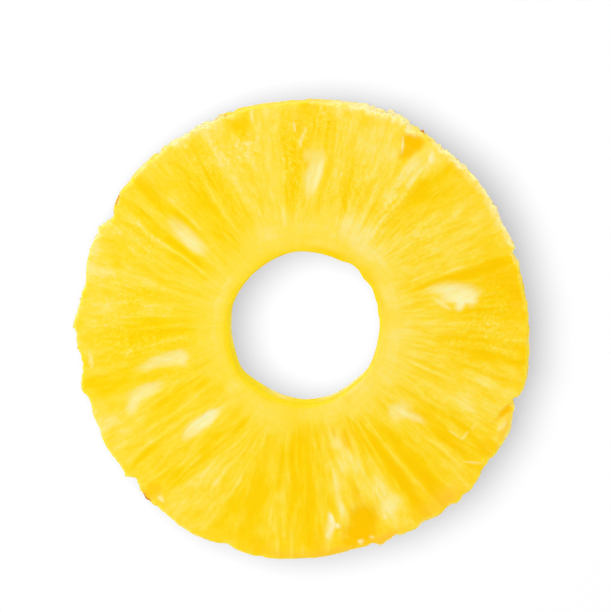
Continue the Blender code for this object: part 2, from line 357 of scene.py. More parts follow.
        (285.4, 24.4, 1.4, 1.2, 0, 0.25, 0), (293.6, 41.6, 0.5, 0.4, 0, 0.5, 0),
        (53.2, 43.2, 0.6, 1.1, -30, 0.7, 0), (55.6, 39.8, 1.2, 2.2, 0, 0.35, 0),
        (53.8, 38, 0.4, 2, 0, 0.3, 0), (61.7, 42.3, 0.16, 1.5, -25, 0.8, 0),
        # the marks at 230.4 and 285.2 degrees, by the rim, are painted glints of juice
        (230.4, 45.1, 0.7, 0.4, 0, 0.7, 0), (188.6, 43.5, 1.5, 0.3, 0, 0.6, 0),
        (285.2, 44.75, 0.55, 0.4, 0, 0.95, 0), (288.2, 44.5, 0.5, 0.25, 0, 0.5, 0),
        (103.2, 44.8, 0.22, 1.7, 14, 0.5, 0), (103.8, 44, 0.2, 1.2, 0, 0.4, 0),
        (321.9, 43.7, 0.24, 1.7, -32, 0.35, 0), (125, 45.4, 0.16, 1.9, -66, 0.35, 0),
        (145.8, 45.1, 0.14, 1.2, 60, 0.4, 0), (327.6, 39.3, 2.2, 0.16, 11, 0.35, 0),
        (325.3, 37.4, 0.22, 1.6, 0, 0.2, 0), (334, 44.7, 1.3, 0.4, 20, 0.35, 0),
        (90.3, 38.6, 0.3, 1.5, 23, 0.45, 0), (92.4, 40.8, 0.25, 1, -8, 0.4, 0),
        (90.7, 37.3, 0.2, 0.7, 10, 0.35, 0), (89.3, 40.2, 0.3, 0.5, 0, 0.4, 0),
        (88.5, 35, 1, 1.6, 0, 0.25, 0), (107.3, 39.2, 0.8, 0.3, 0, 0.25, 0),
        (109.5, 38.5, 0.5, 0.3, 0, 0.2, 0), (105.5, 40.6, 0.4, 0.3, 0, 0.2, 0),
    ),
    "whiteStrand": 0.45,
    # amber pits, in the same columns, with how amber they are instead of how white
    "pits": (
        (59.3, 43.9, 2.2, 1.8, 0, 1, 0.25), (59.4, 41.7, 1.2, 2, 8, 0.95, 0.2),
        (57.9, 44.2, 0.9, 1, 0, 0.9, 0.1), (285.8, 43, 3.6, 2.2, 8, 1, 0.3), (288, 40.7, 3.1, 3, 0, 1, 0.3),
        (282.6, 44.3, 2.4, 1.3, 0, 0.9, 0.1), (287.9, 36.4, 0.9, 3, 0, 0.4, 0.1),
        (107.2, 43.1, 1.7, 1.3, 0, 0.2, 0.15), (338.2, 44.2, 0.75, 3.2, -67, 1, 0.25),
        (340.1, 44.9, 0.7, 1.5, -62, 1, 0.2), (9.5, 43.6, 3, 1.8, 0, 0.45, 0.1),
        (16, 41, 2.2, 3.4, 0, 0.35, 0.05), (19.6, 36, 0.9, 6, 0, 0.3, 0), (91, 41, 1, 1.8, 0, 0.3, 0.1),
        (138, 41.5, 1.6, 3, 0, 0.3, 0.1), (227.2, 44.6, 1.4, 1.6, 0, 0.6, 0),
        (286.3, 22, 0.4, 1.3, 4, 0.55, 0), (290.9, 24, 0.8, 1.8, 6, 0.6, 0),
        (281.3, 43.2, 1, 1, 0, 0.6, 0.05), (296.4, 24.6, 0.7, 2.4, -20, 0.3, 0),
        (281, 21.6, 0.5, 0.7, 0, 0.25, 0), (303.2, 38, 1, 6, 0, 0.5, 0), (309.2, 41, 1.4, 4, 0, 0.4, 0),
        (326.2, 44, 1.4, 1.7, 0, 0.5, 0), (274, 43.4, 1.6, 3, 0, 0.35, 0), (258.5, 45, 2, 1.5, 0, 0.3, 0),
        (322.4, 38.5, 0.9, 4, 0, 0.35, 0), (51, 35, 0.8, 5, 4, 0.3, 0),
    ),
    "featherShake": 0.3,
    "featherStrand": 0.22,
    "spotReach": 1.45,  # where a spot has faded out, in its own half widths
    "smallSpot": 0.75,  # cavities narrower than this are crisper
    # how much feather an edge takes, and where the spot is full, in its own half widths
    "smallEdge": (0.4, 0.6),
    "largeEdge": (1.4, 0.35),
    "pitEdge": (1.4, 0.55),

    # what is left of the eyes on the rim: angle, height, half width and half height in mm
    "eyes": (
        (31.6, 2.2, 0.55, 1.2), (34.3, 2, 0.4, 1), (49.5, 6.6, 0.5, 0.6), (59, 2.6, 0.6, 1.5),
        (110.9, 11.6, 0.6, 0.25), (144.3, 11.4, 1.2, 0.5), (226.8, 11.7, 1.3, 0.45), (172, 5, 0.8, 1),
        (201, 6.5, 0.9, 1), (255, 4.6, 1, 1.1), (282, 7, 0.8, 0.9), (312, 4.5, 1, 1.2), (327, 6, 0.8, 0.9),
    ),
    "eyeEdge": (1.4, 0.3),  # where an eye has faded out, and where it is full, in its own half widths
    "eyeCrumb": 0.35,
    "eyeWall": (0.1, 0.5),  # how steep the wall is where the eyes set in
    "eyeDepth": 0.25,
    "eyeTop": (10, 8),  # heights over which its hollow fades out towards the lip
    # where the rim frays and is painted cream, a painted highlight of its wet wall and lip: angle, half
    # width, amount
    "creamHighlights": (
        (28, 8, 0.8), (45, 12, 0.9), (59.5, 2.5, -0.6), (70, 11, 1.2), (119, 8, 1.2), (134, 4, 0.4),
        (153, 3, 0.7), (205, 8, 0.3), (238, 8, 0.3), (300, 9, 0.2), (330, 6, 0.2), (176, 5, 0.3),
    ),
    "creamSway": 3.5,  # degrees to each side
    "creamShake": 0.25,
    "creamCrumb": 0.35,
    "fringeWidth": (0.5, 1.1),  # of the painted cream highlight over the top's edge: at least, and more where that highlight is strong
    "fringeShake": 0.4,
    "fringeCrumb": 0.3,
    # where the foot of the hole's wall is painted cream: angle, half width, amount
    "holeCreams": ((182, 12, 0.3), (249, 9, 0.45), (289, 8, 0.4), (306, 11, 0.75), (325, 11, 0.6)),
    "footBand": (10, 3),  # heights over which it sets in, downwards
    "footShake": 0.8,

    # where the rim is torn rather than cut clean: angle, half width, amount
    "torn": (
        (25, 9, 1), (55, 16, 0.65), (70, 9, 0.6), (120, 12, 0.9), (150, 6, 1), (187, 10, 0.5),
        (222, 10, 0.7), (294, 8, 0.75), (322, 6, 0.5), (341, 5, 0.7),
    ),
    "leastTorn": 0.15,
    "raggedness": 0.6,
    "tornBand": (43.5, 45.6),  # radii, then heights, over which the tears set in
    "tornFoot": (-0.6, 0.6),
    "lipBand": (6.5, 11.4),  # heights over which the lip does
    # snips and lumps down the whole rim: angle, half width, outward
    "trims": (
        (4, 1, 0.2), (15, 0.9, -0.3), (19.3, 1.2, -0.6), (22.1, 0.8, 0.35), (30, 1.2, -0.4),
        (34, 0.6, -0.4), (41, 0.8, 0.3), (51, 1.2, 0.3), (57.5, 1, 0.4), (60.3, 0.9, 0.5), (54.6, 1, 0.3),
        (59, 0.8, 0.3), (62.6, 0.7, -0.35), (68.5, 1, 0.5), (71.5, 0.7, -0.3), (89, 0.8, 0.25),
        (108, 0.7, -0.3), (110.5, 1, 0.35), (114, 0.7, -0.45), (118, 1.2, 0.45), (123.5, 0.8, -0.3),
        (129.5, 1, -0.45), (139, 0.6, -0.3), (170, 0.8, 0.25), (175.5, 0.8, -0.3), (180.2, 0.8, -0.35),
        (196.8, 1.3, -0.5), (206, 1.6, -0.3), (215, 2.4, -0.35), (218.6, 0.9, -0.5), (220.6, 0.8, -0.3),
        (227.5, 1.8, -0.22), (228, 0.8, -0.3), (230, 1, -0.25), (154.6, 0.8, -0.3), (237.5, 1, 0.25),
        (288.8, 1.2, -0.55), (292.3, 0.8, 0.4), (309.6, 1.5, -0.55), (315, 1.4, -0.4), (337.5, 0.9, -0.35),
        (340.4, 0.7, 0.5), (6.5, 1, 0.2), (13.8, 0.9, -0.2), (130.2, 0.8, -0.2), (154, 0.8, -0.2),
        (178.8, 0.8, -0.2), (194, 0.8, -0.25), (203.2, 1.6, -0.2), (259.7, 1, -0.22), (295.5, 1.2, -0.3),
        (302.4, 0.8, -0.3), (326.2, 0.8, -0.2), (330, 2, -0.22), (343, 0.8, -0.35), (357, 1.2, -0.22),
        (53, 0.8, -0.35), (21, 0.6, -0.35), (311.2, 0.7, -0.3), (154.2, 0.6, -0.2), (151, 0.6, -0.2),
        (65.7, 0.8, 0.18), (326, 0.7, -0.15), (352, 0.8, -0.2),
    ),
    # where the lip overhangs the wall: angle, half width, outward
    "overhangs": (
        (36, 19, 0.9), (65.4, 1.6, 0.35), (70, 8, 0.15), (93, 10, 0.6), (118, 14, 0.2), (150.6, 0.9, -0.2),
        (152.6, 1.1, 0.35),
    ),

    # relief in mm: fibre ridges and hollows on the faces, rings in the core, ledges and crumbs on the walls
    "ridgeHeight": 0.05,
    "ridgeBase": 0.9,
    "ridgeStrand": 0.6,
    "ridgeShake": 0.5,
    "tintHollow": 0.04,
    "ringHeight": 0.015,
    "coreHollow": 0.02,
    "jagged": 0.16,
    "ledgeShare": 1.2,
    "crumbShare": 0.7,
    "wallSink": 0.05,
    "uprightHeight": 0.04,
    "speckHeight": 0.02,

    "midRadius": 30,  # tells the hole's wall from the rim
    "wallFinishFrom": 0.1,  # how far out a normal leans where the walls' finish starts
}


def noiseOf(name, angle, along):
    # the flesh's noise of that name: layers with its own cells, step, seed and count
    return layers(angle, along, *flesh["noises"][name])


def fibreAngle(angle, radius):
    # the angle at leanRadius of the fibre through a point: angle - lean * share * (distance past it / 10 mm)
    lean = humps(angle, flesh["leans"])
    out = (radius - flesh["leanRadius"]) / 10
    curve = np.where(out < 0, flesh["leanInside"], flesh["leanOutside"])
    return angle - lean * out * curve


def spot(angle, radius, row, feather, hard):
    # an ellipse tilted in the plane of the slice, 1 inside and 0 outside: smooth of sqrt(x^2 + y^2) +
    # feather, with x and y the distances across it and along it, in its own half widths
    centre, middle, halfWidth, halfLength, tilt = row[:5]
    across = np.radians(away(angle, centre)) * radius
    along = radius - middle
    c, s = math.cos(math.radians(tilt)), math.sin(math.radians(tilt))
    x = (across * c + along * s) / halfWidth
    y = (along * c - across * s) / halfLength
    return smooth(flesh["spotReach"], hard, np.sqrt(x * x + y * y) + feather)


def bunchValue(fibre, radius, shake, fray):
    # every bunch at once: a flat-topped bell across the fibres times a soft, frayed start and end along them
    f = flesh
    (startLow, startHigh), (endLow, endHigh) = f["bunchStart"], f["bunchEnd"]
    total = np.zeros_like(radius)
    for centre, halfWidth, inner, outer, depth in f["bunches"]:
        turn = away(fibre + f["bunchShake"] * shake, centre)
        side = np.exp(-np.abs(turn / halfWidth) ** f["bunchFlatness"])
        start = smooth(inner + startLow, inner + startHigh, radius + f["startFray"] * fray)
        end = smooth(outer + endLow, outer + endHigh, radius - f["endFray"] * fray)
        total += depth * side * start * end
    return total


def driftValue(angle, radius, rows):
    # broad patches: depth * exp(-(turn away / half width)^2 - (distance away / half length)^2)
    total = np.zeros_like(radius)
    for centre, middle, halfWidth, halfLength, depth in rows:
        side = np.exp(-(away(angle, centre) / halfWidth) ** 2)
        total += depth * side * np.exp(-((radius - middle) / halfLength) ** 2)
    return total


def tornRim(angle, radius, height):
    # how torn the rim is, and how far that pushes it out: raggedness * tear * tears + trims, on the whole
    # wall, plus the overhangs at the lip
    f = flesh
    tear = f["leastTorn"] + (1 - f["leastTorn"]) * np.clip(humps(angle, f["torn"]), 0, 1)
    outer = smooth(*f["tornBand"], radius)
    lip = outer * smooth(*f["lipBand"], height)
    ragged = f["raggedness"] * tear * noiseOf("tears", angle, height) + humps(angle, f["trims"])
    push = outer * smooth(*f["tornFoot"], height) * ragged
    return tear, push + lip * humps(angle, f["overhangs"])


def ringGrid():
    # two parameters, the turn and the way round the section, as arrays of shape turnSteps by rows
    rows = sectionRows()
    turn = np.arange(grid["turnSteps"]) * 360 / grid["turnSteps"]
    angle = np.repeat(turn[:, None], len(rows), axis=1)
    radius, height, out, up = (np.repeat(rows[None, :, k], len(turn), axis=0) for k in range(4))
    return angle, radius, height, out, up


def shapeByKnife(angle, radius, height):
    # the solid's cuts, with the hole's edge followed a little closer: radius + the rim's offset * share of
    # the way out + the hole's offset * share of the way in; also that last share
    o = outline
    share = height / o["thickness"]
    outwards = (radius - o["holeRadius"]) / (o["rimRadius"] - o["holeRadius"])
    inwards = 1 - outwards
    upper = np.cos(np.radians(o["fruitlets"] * angle)) * np.sin(math.pi * share)
    lower = np.cos(np.radians(o["fruitlets"] * angle + 180)) * np.sin(2 * math.pi * share)
    wall = o["wallLean"] * (0.5 - share) + o["wallHollow"] * (o["upperRow"] * upper + o["lowerRow"] * lower)
    rim = humps(angle, o["rimSwells"]) + humps(angle, o["rimNicks"]) + wall
    hole = o["holeOval"] * np.cos(2 * np.radians(angle - o["holeOvalAngle"])) + humps(angle, o["holeSwells"])
    return radius + hole * inwards + rim * outwards, inwards


def placeOn(angle, radius, inwards):
    # x = radius * cos(angle) + the hole's offset * share of the way in, and y likewise with the sine
    x = radius * np.cos(np.radians(angle)) + outline["holeCentre"][0] * inwards
    y = radius * np.sin(np.radians(angle)) + outline["holeCentre"][1] * inwards
    return x, y


def weaveFibres(angle, radius, height, shaped, inwards, underside):
    # each point as seen from the pith, by turn and reach; along, which is the reach, run on down the walls;
    # its fibre, which is fibreAngle + wander; and the noises that are drawn out along the fibres
    f = flesh
    x, y = placeOn(angle, shaped, inwards)
    x = x - outline["pith"][0]
    y = y - outline["pith"][1]
    seen = np.degrees(np.arctan2(y, x)) + np.where(underside, f["undersideTurn"], 0.0)
    reach = np.hypot(x, y)
    along = reach - np.where(radius < f["midRadius"], 1, -1) * (outline["thickness"] - height)
    fibre = fibreAngle(seen, reach) + f["wander"] * noiseOf("wander", seen, reach)
    inner = noiseOf("innerStrand", fibre, along)
    outer = noiseOf("outerStrand", fibre, along)
    return {
        "seen": seen,
        "reach": reach,
        "along": along,
        "fibre": fibre,
        "shake": noiseOf("shake", fibre, along),
        "fray": grain(fibre, along, *f["fray"]),
        "strand": inner + (outer - inner) * smooth(*f["strandBand"], reach),
    }


def tintAndCore(w):
    # the core is 1 inside its edge, which is coreRadius + swells + noises, and 0 past it; outside it the tint
    # is (bunches + drifts) * strands + noises, and inside it is depth + tones + rings + strands
    f = flesh
    seen, reach, shake, strand = w["seen"], w["reach"], w["shake"], w["strand"]
    edge = f["coreRadius"] + humps(seen, f["coreSwells"])
    edge = edge + f["coreWobble"] * noiseOf("coreEdge", seen, 0 * reach) + f["coreFray"] * w["fray"]
    core = smooth(f["coreBlend"], -f["coreBlend"], reach - edge)
    tint = bunchValue(w["fibre"], reach, shake, w["fray"]) + driftValue(seen, reach, f["drifts"])
    tint = f["tintGain"] * tint * (1 + f["tintStrand"] * strand) + f["shakeTint"] * shake
    tint = tint + f["strandTint"] * strand + f["blotchTint"] * noiseOf("blotch", seen, reach)
    rings = np.sin(reach * f["ringPitch"] + f["ringShake"] * shake)
    # the tones hold painted shade along the hole's rounded edge
    coreTint = f["coreDepth"] + driftValue(seen, reach, f["coreTonesAndEdgeShade"])
    coreTint = coreTint + f["ringTint"] * rings + f["coreStrand"] * strand
    return tint * (1 - core) + coreTint * core, core, rings


def spotMaps(w, flat):
    # cavities add up to white + inside * whiteness * (1 - white); of amber and of depths the largest counts
    f = flesh
    white, amber, sunk = (np.zeros_like(w["seen"]) for k in range(3))
    feather = f["featherShake"] * w["shake"] + f["featherStrand"] * w["strand"]
    for row in f["cavitiesAndGlints"]:
        blur, hard = f["smallEdge"] if min(row[2], row[3]) < f["smallSpot"] else f["largeEdge"]
        inside = spot(w["seen"], w["reach"], row, feather * blur, hard)
        white = white + inside * row[5] * (1 - white)
        sunk = np.maximum(sunk, inside * row[6])
    for row in f["pits"]:
        blur, hard = f["pitEdge"]
        inside = spot(w["seen"], w["reach"], row, feather * blur, hard)
        amber = np.maximum(amber, inside * row[5])
        sunk = np.maximum(sunk, inside * row[6])
    return white * flat * (1 + f["whiteStrand"] * w["strand"]), amber * flat, sunk * flat


def eyeMap(angle, height, crumb, rimWall):
    # 1 inside an ellipse for each eye on the rim's wall: the largest smooth of sqrt(x^2 + y^2) + crumbs
    f = flesh
    eye = np.zeros_like(angle)
    for centre, level, halfWidth, halfHeight in f["eyes"]:
        x = np.radians(away(angle, centre)) * outline["rimRadius"] / halfWidth
        y = (height - level) / halfHeight
        eye = np.maximum(eye, smooth(*f["eyeEdge"], np.sqrt(x * x + y * y) + f["eyeCrumb"] * crumb))
    return eye * smooth(*f["eyeWall"], rimWall)


def creamMap(angle, radius, height, shake, crumb, walls):
    # highlight * rim's wall + a ragged fringe over the top's edge * highlight + the foot of the hole's wall
    f = flesh
    top, rimWall, holeWall = walls
    # highlight: how strongly the rim's painted cream highlight shows, swayed and shaken round the turn
    sway = f["creamSway"] * noiseOf("fringe", angle, height)
    creamSheen = np.clip(humps(angle + sway, f["creamHighlights"]) + f["creamShake"] * shake, 0, 1)
    inside = outline["rimRadius"] - radius + f["fringeShake"] * shake + f["fringeCrumb"] * crumb
    fringe = smooth(f["fringeWidth"][0] + f["fringeWidth"][1] * creamSheen, 0.0, inside) * top
    foot = holeWall * smooth(*f["footBand"], height + f["footShake"] * shake) * humps(angle, f["holeCreams"])
    return np.clip(rimWall * (creamSheen + f["creamCrumb"] * crumb) + fringe * creamSheen + foot, 0, 1)


def faceRelief(w, tint, core, rings):
    # -(ridge height * (base + strands) + hollow * tint) in the fibres, rings - hollow in the core
    f = flesh
    ridges = f["ridgeBase"] + (f["ridgeStrand"] * w["strand"] + f["ridgeShake"] * w["shake"])
    relief = -f["ridgeHeight"] * ridges * (1 - core) - f["tintHollow"] * np.clip(tint, 0, 1)
    return relief + (f["ringHeight"] * rings - f["coreHollow"]) * core


def wallRelief(angle, height, tear, crumb, eye):
    # the rim: jagged * (ledges + crumbs * tear) - sink - eyes; the hole: upright fibres + specks
    f = flesh
    ledges = noiseOf("ledges", angle, height)
    rim = f["jagged"] * (f["ledgeShare"] * ledges + f["crumbShare"] * crumb * tear) - f["wallSink"]
    rim = rim - f["eyeDepth"] * eye * smooth(*f["eyeTop"], height)
    hole = f["uprightHeight"] * noiseOf("upright", angle, height)
    return rim, hole + f["speckHeight"] * grain(angle, height, *f["holeSpecks"])


def putInScene(name, data):
    # an object of that data, at the origin
    made = bpy.data.objects.new(name, data)
    bpy.context.scene.collection.objects.link(made)
    return made


def meshObject(name, points, faces):
    # a smooth-shaded mesh from lists of points and faces, and its object
    mesh = bpy.data.meshes.new(name)
    mesh.from_pydata(points, [], faces)
    mesh.shade_smooth()
    return putInScene(name, mesh)


def storeMap(mesh, name, values, kind="FLOAT", key="value"):
    # one number, or one vector, kept for each point of the mesh
    attribute = mesh.attributes.new(name, kind, "POINT")
    attribute.data.foreach_set(key, np.asarray(values, dtype=np.float32).reshape(-1))


def wrappedFaces(turnCount, rowCount):
    # a quad between each point and the next ones round the turn and round the section, closed both ways
    i = np.arange(turnCount)[:, None]
    j = np.arange(rowCount)[None, :]
    nextI, nextJ = (i + 1) % turnCount, (j + 1) % rowCount
    corners = [i * rowCount + j, i * rowCount + nextJ, nextI * rowCount + nextJ, nextI * rowCount + j]
    return np.stack(np.broadcast_arrays(*corners), axis=-1).reshape(-1, 4)


def makeRing():
    # each point is its place on the cut section + push * its normal (out, up); the top then falls by
    # topFall * (distance towards topFallAngle / diameter) * share of the height
    f, o = flesh, outline
    angle, radius, height, out, up = ringGrid()
    shaped, inwards = shapeByKnife(angle, radius, height)
    top = np.clip(up, 0, 1)
    flat = top + np.clip(-up, 0, 1)
    underside = up < -0.5
    rimWall = np.clip(out, 0, 1) * (radius > f["midRadius"])
    holeWall = np.clip(-out, 0, 1) * (radius < f["midRadius"])
    tear, push = tornRim(angle, radius, height)
    shaped = shaped + push

    w = weaveFibres(angle, radius, height, shaped, inwards, underside)
    tint, core, rings = tintAndCore(w)
    white, amber, sunk = spotMaps(w, flat)
    crumb = noiseOf("crumb", angle, height)
    eye = eyeMap(angle, height, crumb, rimWall)
    rimRelief, holeRelief = wallRelief(angle, height, tear, crumb, eye)

    push = flat * (faceRelief(w, tint, core, rings) - sunk) + rimWall * rimRelief + holeWall * holeRelief
    x, y = placeOn(angle, shaped + push * out, inwards)
    fallAngle = math.radians(o["topFallAngle"])
    fall = o["topFall"] * (x * math.cos(fallAngle) + y * math.sin(fallAngle)) / (2 * o["rimRadius"])
    z = height + push * up - fall * height / o["thickness"]
    z = np.where(underside, np.maximum(z, 0), z)

    # centred on the CAD box
    points = np.stack([x, y, z], axis=-1).reshape(-1, 3) * mm
    middle = (points.min(0) + points.max(0)) / 2
    shift = np.array(((cadLow + cadHigh) / 2)[:2]) - middle[:2]
    points[:, :2] += shift

    faces = wrappedFaces(*angle.shape)
    made = meshObject("pineappleFlesh", points.tolist(), faces.tolist())
    mesh = made.data
    # the second finish is for the walls and their rounded edges
    steep = np.abs(out) > f["wallFinishFrom"]
    onWall = steep | np.roll(steep, -1, axis=1)
    mesh.polygons.foreach_set("material_index", onWall.reshape(-1).astype(np.int32))

    turn = np.radians(w["fibre"])
    strands = [f["strandRadius"] * np.cos(turn), f["strandRadius"] * np.sin(turn), w["along"]]
    storeMap(mesh, "strands", np.stack(strands, axis=-1), "FLOAT_VECTOR", "vector")
    seen, reach, shake = w["seen"], w["reach"], w["shake"]
    blush = driftValue(seen, reach, f["blushes"]) * (1 + f["blushShake"] * shake)
    maps = {
        "tint": tint,
        "white": white,
        "amber": amber,
        "core": core,
        "rim": rimWall,
        "cream": creamMap(angle, radius, height, shake, crumb, (top, rimWall, holeWall)),
        "eye": eye,
        "lemon": np.clip(humps(seen, f["lemon"]), 0, 1),
        "holeWall": holeWall,
        "fleckAndGlint": driftValue(seen, reach, f["sacFlecksAndGlints"]) * top * (1 - core),
        "blush": np.clip(blush, 0, 1),
    }
    for name, values in maps.items():
        storeMap(mesh, name, values)
    print("ring:", len(points), "points,", len(faces) * 2, "triangles")
    return made, shift


shreds = {
    "count": 460,
    "seed": 12,
    "rings": 6,
    "sides": 5,
    "length": (0.3, 0.9),
    "lengthShare": (0.4, 0.55),  # of that length: at least, and more where the rim is frayed
    "halfWidth": (0.14, 0.36),
    "flatness": 0.6,
    "tipWidth": 0.002,  # squared, so that the tip isn't a point
    "turnStep": 0.5,
    "cleanShare": 0.02,  # how often they grow where the rim is cut clean
    "highlightShare": 0.5,
    "mostFrayed": 1.2,
    "highest": 11.7,
    "drop": 10.4,
    "dropPower": 1.8,  # above 1, more of them sit near the lip
    "rootDepth": 0.2,
    # how they lean, drawn between two limits: outwards, aside, upwards; tags stand out more
    "lean": ((0.05, -1, -1), (0.35, 1, 0.4)),
    "tagLean": ((0.7, -0.8, -0.3), (1.0, 0.8, 0.1)),
    "curl": 0.6,
    "curlIn": 0.5,
    "toneSpread": (-0.3, 0.4),
    # tags left standing at the lip, and brown scraps of an eye: angle, height, length, half width, brownness
    "tags": (
        (65.2, 4.5, 0.9, 0.8, 0), (68.5, 5, 0.8, 0.9, 0), (72.5, 3.5, 0.7, 0.7, 0), (22, 10.4, 0.7, 0.6, 0),
        (178.6, 11, 0.7, 0.7, 0), (219, 11, 0.5, 0.5, 0), (152.6, 10.9, 0.5, 0.8, 0),
        (312, 11.2, 0.5, 0.5, 0), (128.2, 9, 0.7, 0.6, 0), (116, 6, 0.7, 0.8, 0), (31.9, 1.6, 1.2, 0.6, 1),
        (32.8, 2, 0.9, 0.4, 1), (34.6, 2, 1.3, 0.6, 1), (49.6, 4, 0.5, 0.3, 1), (59.4, 2.4, 1.4, 0.7, 1),
        (109.6, 11.2, 0.5, 0.6, 0.5), (110.8, 11.3, 0.5, 0.6, 0.5), (111.8, 11.2, 0.4, 0.5, 0.5),
        (143.4, 11.2, 0.5, 0.5, 1), (144.3, 11.2, 0.5, 0.5, 1), (145.2, 11.1, 0.4, 0.45, 1),
        (225.9, 11.2, 0.3, 0.45, 1), (227.2, 11.2, 0.3, 0.5, 1), (172.5, 5.4, 0.5, 0.4, 1),
        (201.6, 6.6, 0.5, 0.4, 1), (255.6, 4.8, 0.6, 0.4, 1), (281.4, 7.2, 0.5, 0.4, 1),
        (312.5, 4.8, 0.6, 0.5, 1), (326.6, 6.2, 0.5, 0.4, 1),
    ),
}


def frayAmount(angle):
    # how frayed the rim is: torn + a share of the rim's painted cream highlight, from 0 to mostFrayed
    frayed = humps(angle, flesh["torn"]) + shreds["highlightShare"] * humps(angle, flesh["creamHighlights"])
    return np.clip(frayed, 0, shreds["mostFrayed"])


def makeShreds(shift):
    # torn fibres on the rim, all at once, as arrays of shreds by rings by sides: the middle line is
    # root + length * (t * way + 0.5 * t^2 * curl), and the half width is sqrt(1 - t^2)
    d = shreds
    draw = np.random.default_rng(d["seed"])
    turn = np.arange(0, 360, d["turnStep"])
    share = np.cumsum(d["cleanShare"] + frayAmount(turn))
    angle = np.interp(draw.uniform(0, share[-1], d["count"]), share, turn)
    height = d["highest"] - d["drop"] * draw.uniform(0, 1, d["count"]) ** d["dropPower"]
    length = draw.uniform(*d["length"], d["count"])
    length = length * (d["lengthShare"][0] + d["lengthShare"][1] * frayAmount(angle))
    halfWidth = draw.uniform(*d["halfWidth"], d["count"])
    tags = np.array(d["tags"])
    angle, height = np.append(angle, tags[:, 0]), np.append(height, tags[:, 1])
    length, halfWidth = np.append(length, tags[:, 2]), np.append(halfWidth, tags[:, 3])
    count = len(angle)

    rim = np.full(count, outline["rimRadius"])
    place = shapeByKnife(angle, rim, height)[0] + tornRim(angle, rim, height)[1] - d["rootDepth"]
    a = np.radians(angle)
    outwards = np.stack([np.cos(a), np.sin(a), 0 * a], axis=-1)
    aside = np.stack([-np.sin(a), np.cos(a), 0 * a], axis=-1)
    upwards = np.tile((0.0, 0.0, 1.0), (count, 1))
    lean = draw.uniform(*d["lean"], (count, 3))
    lean[-len(tags):] = draw.uniform(*d["tagLean"], (len(tags), 3))
    way = lean[:, :1] * outwards + lean[:, 1:2] * aside + lean[:, 2:] * upwards
    way /= np.linalg.norm(way, axis=1, keepdims=True)
    curl = draw.uniform(-d["curl"], d["curl"], (count, 3)) - d["curlIn"] * outwards
    thin = np.cross(way, np.cross(outwards, way))
    thin /= np.linalg.norm(thin, axis=1, keepdims=True)
    wide = np.cross(way, thin)

    t = np.linspace(0, 1, d["rings"])[None, :, None, None]
    turned = np.arange(d["sides"]) * 2 * math.pi / d["sides"]
    root = place[:, None] * outwards + height[:, None] * upwards
    middle = root[:, None, None] + length[:, None, None, None] * (
        t * way[:, None, None] + 0.5 * t * t * curl[:, None, None])
    taper = halfWidth[:, None, None, None] * np.sqrt(np.maximum(1 - t ** 2, d["tipWidth"]))
    ring = (np.cos(turned)[None, None, :, None] * wide[:, None, None]
            + d["flatness"] * np.sin(turned)[None, None, :, None] * thin[:, None, None])
    points = (middle + taper * ring).reshape(-1, 3) * mm
    points[:, :2] += shift

    # side faces, then one polygon over each end
    rings, sides = d["rings"], d["sides"]
    n = np.arange(count)[:, None, None] * rings * sides
    i = np.arange(rings - 1)[None, :, None] * sides
    j = np.arange(sides)[None, None, :]
    k = (j + 1) % sides
    corners = [n + i + j, n + i + k, n + i + sides + k, n + i + sides + j]
    faces = np.stack(np.broadcast_arrays(*corners), axis=-1).reshape(-1, 4).tolist()
    start = (np.arange(count)[:, None] * rings * sides + np.arange(sides)[::-1][None, :])
    faces += start.tolist() + (start[:, ::-1] + (rings - 1) * sides).tolist()

    made = meshObject("rimShreds", points.tolist(), faces)
    # their tone follows the rim's painted cream highlight, with some spread
    tone = np.clip(humps(angle, flesh["creamHighlights"]) + draw.uniform(*d["toneSpread"], count), 0, 1)
    brown = np.append(np.zeros(d["count"]), tags[:, 4])
    storeMap(made.data, "tone", np.repeat(tone, rings * sides))
    storeMap(made.data, "brown", np.repeat(brown, rings * sides))
    print("shreds:", count, "of them,", len(faces), "faces")
    return made


